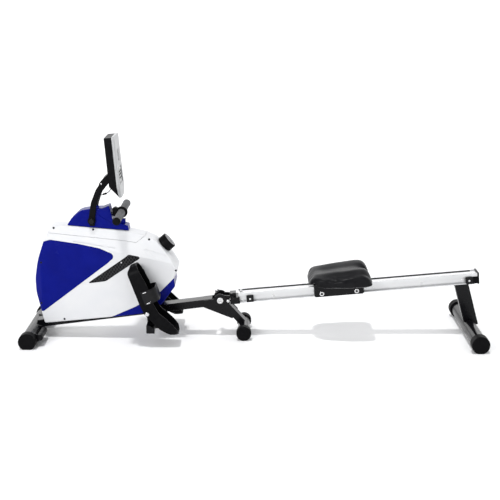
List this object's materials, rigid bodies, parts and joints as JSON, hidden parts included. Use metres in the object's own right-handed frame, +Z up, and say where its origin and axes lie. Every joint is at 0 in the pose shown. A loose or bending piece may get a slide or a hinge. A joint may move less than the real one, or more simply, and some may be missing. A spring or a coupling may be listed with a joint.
{
  "type": "rowing machine",
  "caption": "Folding magnetic rowing machine: sliding seat on an aluminium rail, pull handle, foot plates, flywheel housing and console on three floor stands.",
  "frame": {"origin": "on the floor, in the middle of the machine's footprint", "axes": "+X from the drive unit to the free end of the rail, +Y to the right of a rower facing the drive unit, +Z up"},
  "size_m": [1.9177, 0.55, 0.8516],
  "materials": {
    "black_steel": "semi-gloss black powder coat",
    "grey_foot": "matt black moulded",
    "black_plastic": "fine-grained black moulding",
    "white_plastic": "gloss white moulding",
    "blue_plastic": "gloss royal blue moulding",
    "silver_plastic": "silver-grey satin",
    "light_grey_plastic": "light grey moulding",
    "zinc_steel": "zinc-plated fasteners",
    "rail_aluminium": "bright anodised extrusion",
    "foam_grip": "grey foam",
    "seat_vinyl": "black polyurethane skin on foam",
    "wheel_rubber": "black",
    "strap_web": "woven black nylon",
    "iron": "machined flywheel",
    "display_glass": "dark LCD window"
  },
  "bodies": {
    "frame": {"main_beam": "black_steel", "front_stabiliser_tube": "black_steel", "front_foot_caps": "grey_foot", "mid_leg": "black_steel", "gusset_plates": "black_steel", "mid_stand_tube": "black_steel", "mid_stand_caps": "grey_foot", "hinge_bolts": "zinc_steel", "top_cover": "white_plastic", "left_shell": "white_plastic", "right_shell": "white_plastic", "left_blue_panel": "blue_plastic", "right_blue_panel": "blue_plastic", "lower_trims": "blue_plastic", "vent_grilles": "black_plastic", "side_caps": "silver_plastic", "shroud_screws": "black_steel", "inner_frame": "black_steel", "pull_strap": "strap_web", "handle_cradle": "blue_plastic", "pedal_axle": "black_steel", "pedal_bolts": "zinc_steel", "transport_wheel_brackets": "black_steel", "yoke_bolt": "black_steel"},
    "lock_plunger": {"lock_plunger": "zinc_steel"},
    "flywheel": {"flywheel": "iron"},
    "strap_drum": {"strap_drum": "black_plastic"},
    "strap_idler": {"strap_idler": "black_plastic"},
    "tension_knob": {"tension_knob": "black_plastic", "knob_face": "silver_plastic"},
    "handle": {"handle_bar": "black_steel", "handle_grips": "foam_grip", "handle_end_caps": "black_plastic", "handle_ring": "black_plastic"},
    "left_pedal": {"left_pedal": "black_plastic", "left_foot_strap": "wheel_rubber"},
    "right_pedal": {"right_pedal": "black_plastic", "right_foot_strap": "wheel_rubber"},
    "left_transport_wheel": {"left_transport_wheel": "wheel_rubber"},
    "right_transport_wheel": {"right_transport_wheel": "wheel_rubber"},
    "rail": {"rail": "rail_aluminium", "rail_inlays": "black_plastic", "rail_hinge_bracket": "black_steel", "rail_end_cap": "black_plastic", "rail_stops": "wheel_rubber", "rail_screws": "zinc_steel", "rear_post": "black_steel", "rear_stabiliser_tube": "black_steel", "rear_foot_caps": "grey_foot"},
    "seat": {"seat_carriage": "black_steel", "roller_bolts": "zinc_steel", "seat_pad": "seat_vinyl"},
    "front_seat_rollers": {"front_seat_rollers": "wheel_rubber"},
    "rear_seat_rollers": {"rear_seat_rollers": "wheel_rubber"},
    "console_yoke": {"console_yoke": "black_plastic", "console_lead": "wheel_rubber"},
    "console": {"console_back": "black_plastic", "console_bezel": "light_grey_plastic", "console_display": "display_glass", "console_keypad": "silver_plastic"}
  },
  "joints": [
    {"name": "rail_fold", "type": "hinge", "parent": "frame", "child": "rail", "pos_m": [-0.137, 0, 0.156], "axis": [0, -1, 0], "range_deg": [0, 82]},
    {"name": "seat_slide", "type": "slide", "parent": "rail", "child": "seat", "axis": [0.9963, 0, 0.0859], "range_m": [-0.252, 0.422]},
    {"name": "front_rollers_roll", "type": "hinge", "parent": "seat", "child": "front_seat_rollers", "pos_m": [0.29109, 0, 0.18617], "axis": [0, 1, 0], "range_deg": [-1700, 2830]},
    {"name": "rear_rollers_roll", "type": "hinge", "parent": "seat", "child": "rear_seat_rollers", "pos_m": [0.43704, 0, 0.19876], "axis": [0, 1, 0], "range_deg": [-1700, 2830]},
    {"name": "handle_pull", "type": "slide", "parent": "frame", "child": "handle", "axis": [1, 0, 0], "range_m": [0, 1.1], "stiffness_N_per_m": 15, "deforming": ["pull_strap"]},
    {"name": "strap_drum_spin", "type": "hinge", "parent": "frame", "child": "strap_drum", "pos_m": [-0.473, 0, 0.285], "axis": [0, 1, 0], "range_deg": [0, 1810]},
    {"name": "strap_idler_spin", "type": "hinge", "parent": "frame", "child": "strap_idler", "pos_m": [-0.602, 0, 0.513], "axis": [0, 1, 0], "range_deg": [0, 8100]},
    {"name": "flywheel_spin", "type": "hinge", "parent": "frame", "child": "flywheel", "pos_m": [-0.473, 0, 0.285], "axis": [0, 1, 0], "continuous": true},
    {"name": "tension_knob_turn", "type": "hinge", "parent": "frame", "child": "tension_knob", "pos_m": [-0.374, 0, 0.387], "axis": [0.7519, 0, 0.6592], "range_deg": [0, 270]},
    {"name": "left_pedal_pivot", "type": "hinge", "parent": "frame", "child": "left_pedal", "pos_m": [-0.43, -0.145, 0.145], "axis": [0, 1, 0], "range_deg": [-20, 5]},
    {"name": "right_pedal_pivot", "type": "hinge", "parent": "frame", "child": "right_pedal", "pos_m": [-0.43, 0.145, 0.145], "axis": [0, 1, 0], "range_deg": [-20, 5]},
    {"name": "left_transport_wheel_roll", "type": "hinge", "parent": "frame", "child": "left_transport_wheel", "pos_m": [-0.8775, -0.123, 0.037], "axis": [0, 1, 0], "continuous": true},
    {"name": "right_transport_wheel_roll", "type": "hinge", "parent": "frame", "child": "right_transport_wheel", "pos_m": [-0.8775, 0.123, 0.037], "axis": [0, 1, 0], "continuous": true},
    {"name": "yoke_tilt", "type": "hinge", "parent": "frame", "child": "console_yoke", "pos_m": [-0.666, 0, 0.499], "axis": [0, 1, 0], "range_deg": [-10, 12]},
    {"name": "console_tilt", "type": "hinge", "parent": "console_yoke", "child": "console", "pos_m": [-0.603, 0, 0.672], "axis": [0, 1, 0], "range_deg": [-12, 12], "deforming": ["console_lead"]},
    {"name": "lock_plunger_pull", "type": "slide", "parent": "frame", "child": "lock_plunger", "axis": [0, 1, 0], "range_m": [0, 0.004], "stiffness_N_per_m": 800}
  ],
  "couplings": [
    {"joint": "front_rollers_roll", "follows": "seat_slide", "rad_per_m": 116.28},
    {"joint": "rear_rollers_roll", "follows": "seat_slide", "rad_per_m": 116.28},
    {"joint": "strap_drum_spin", "follows": "handle_pull", "rad_per_m": 28.571},
    {"joint": "strap_idler_spin", "follows": "handle_pull", "rad_per_m": 111.11}
  ]
}
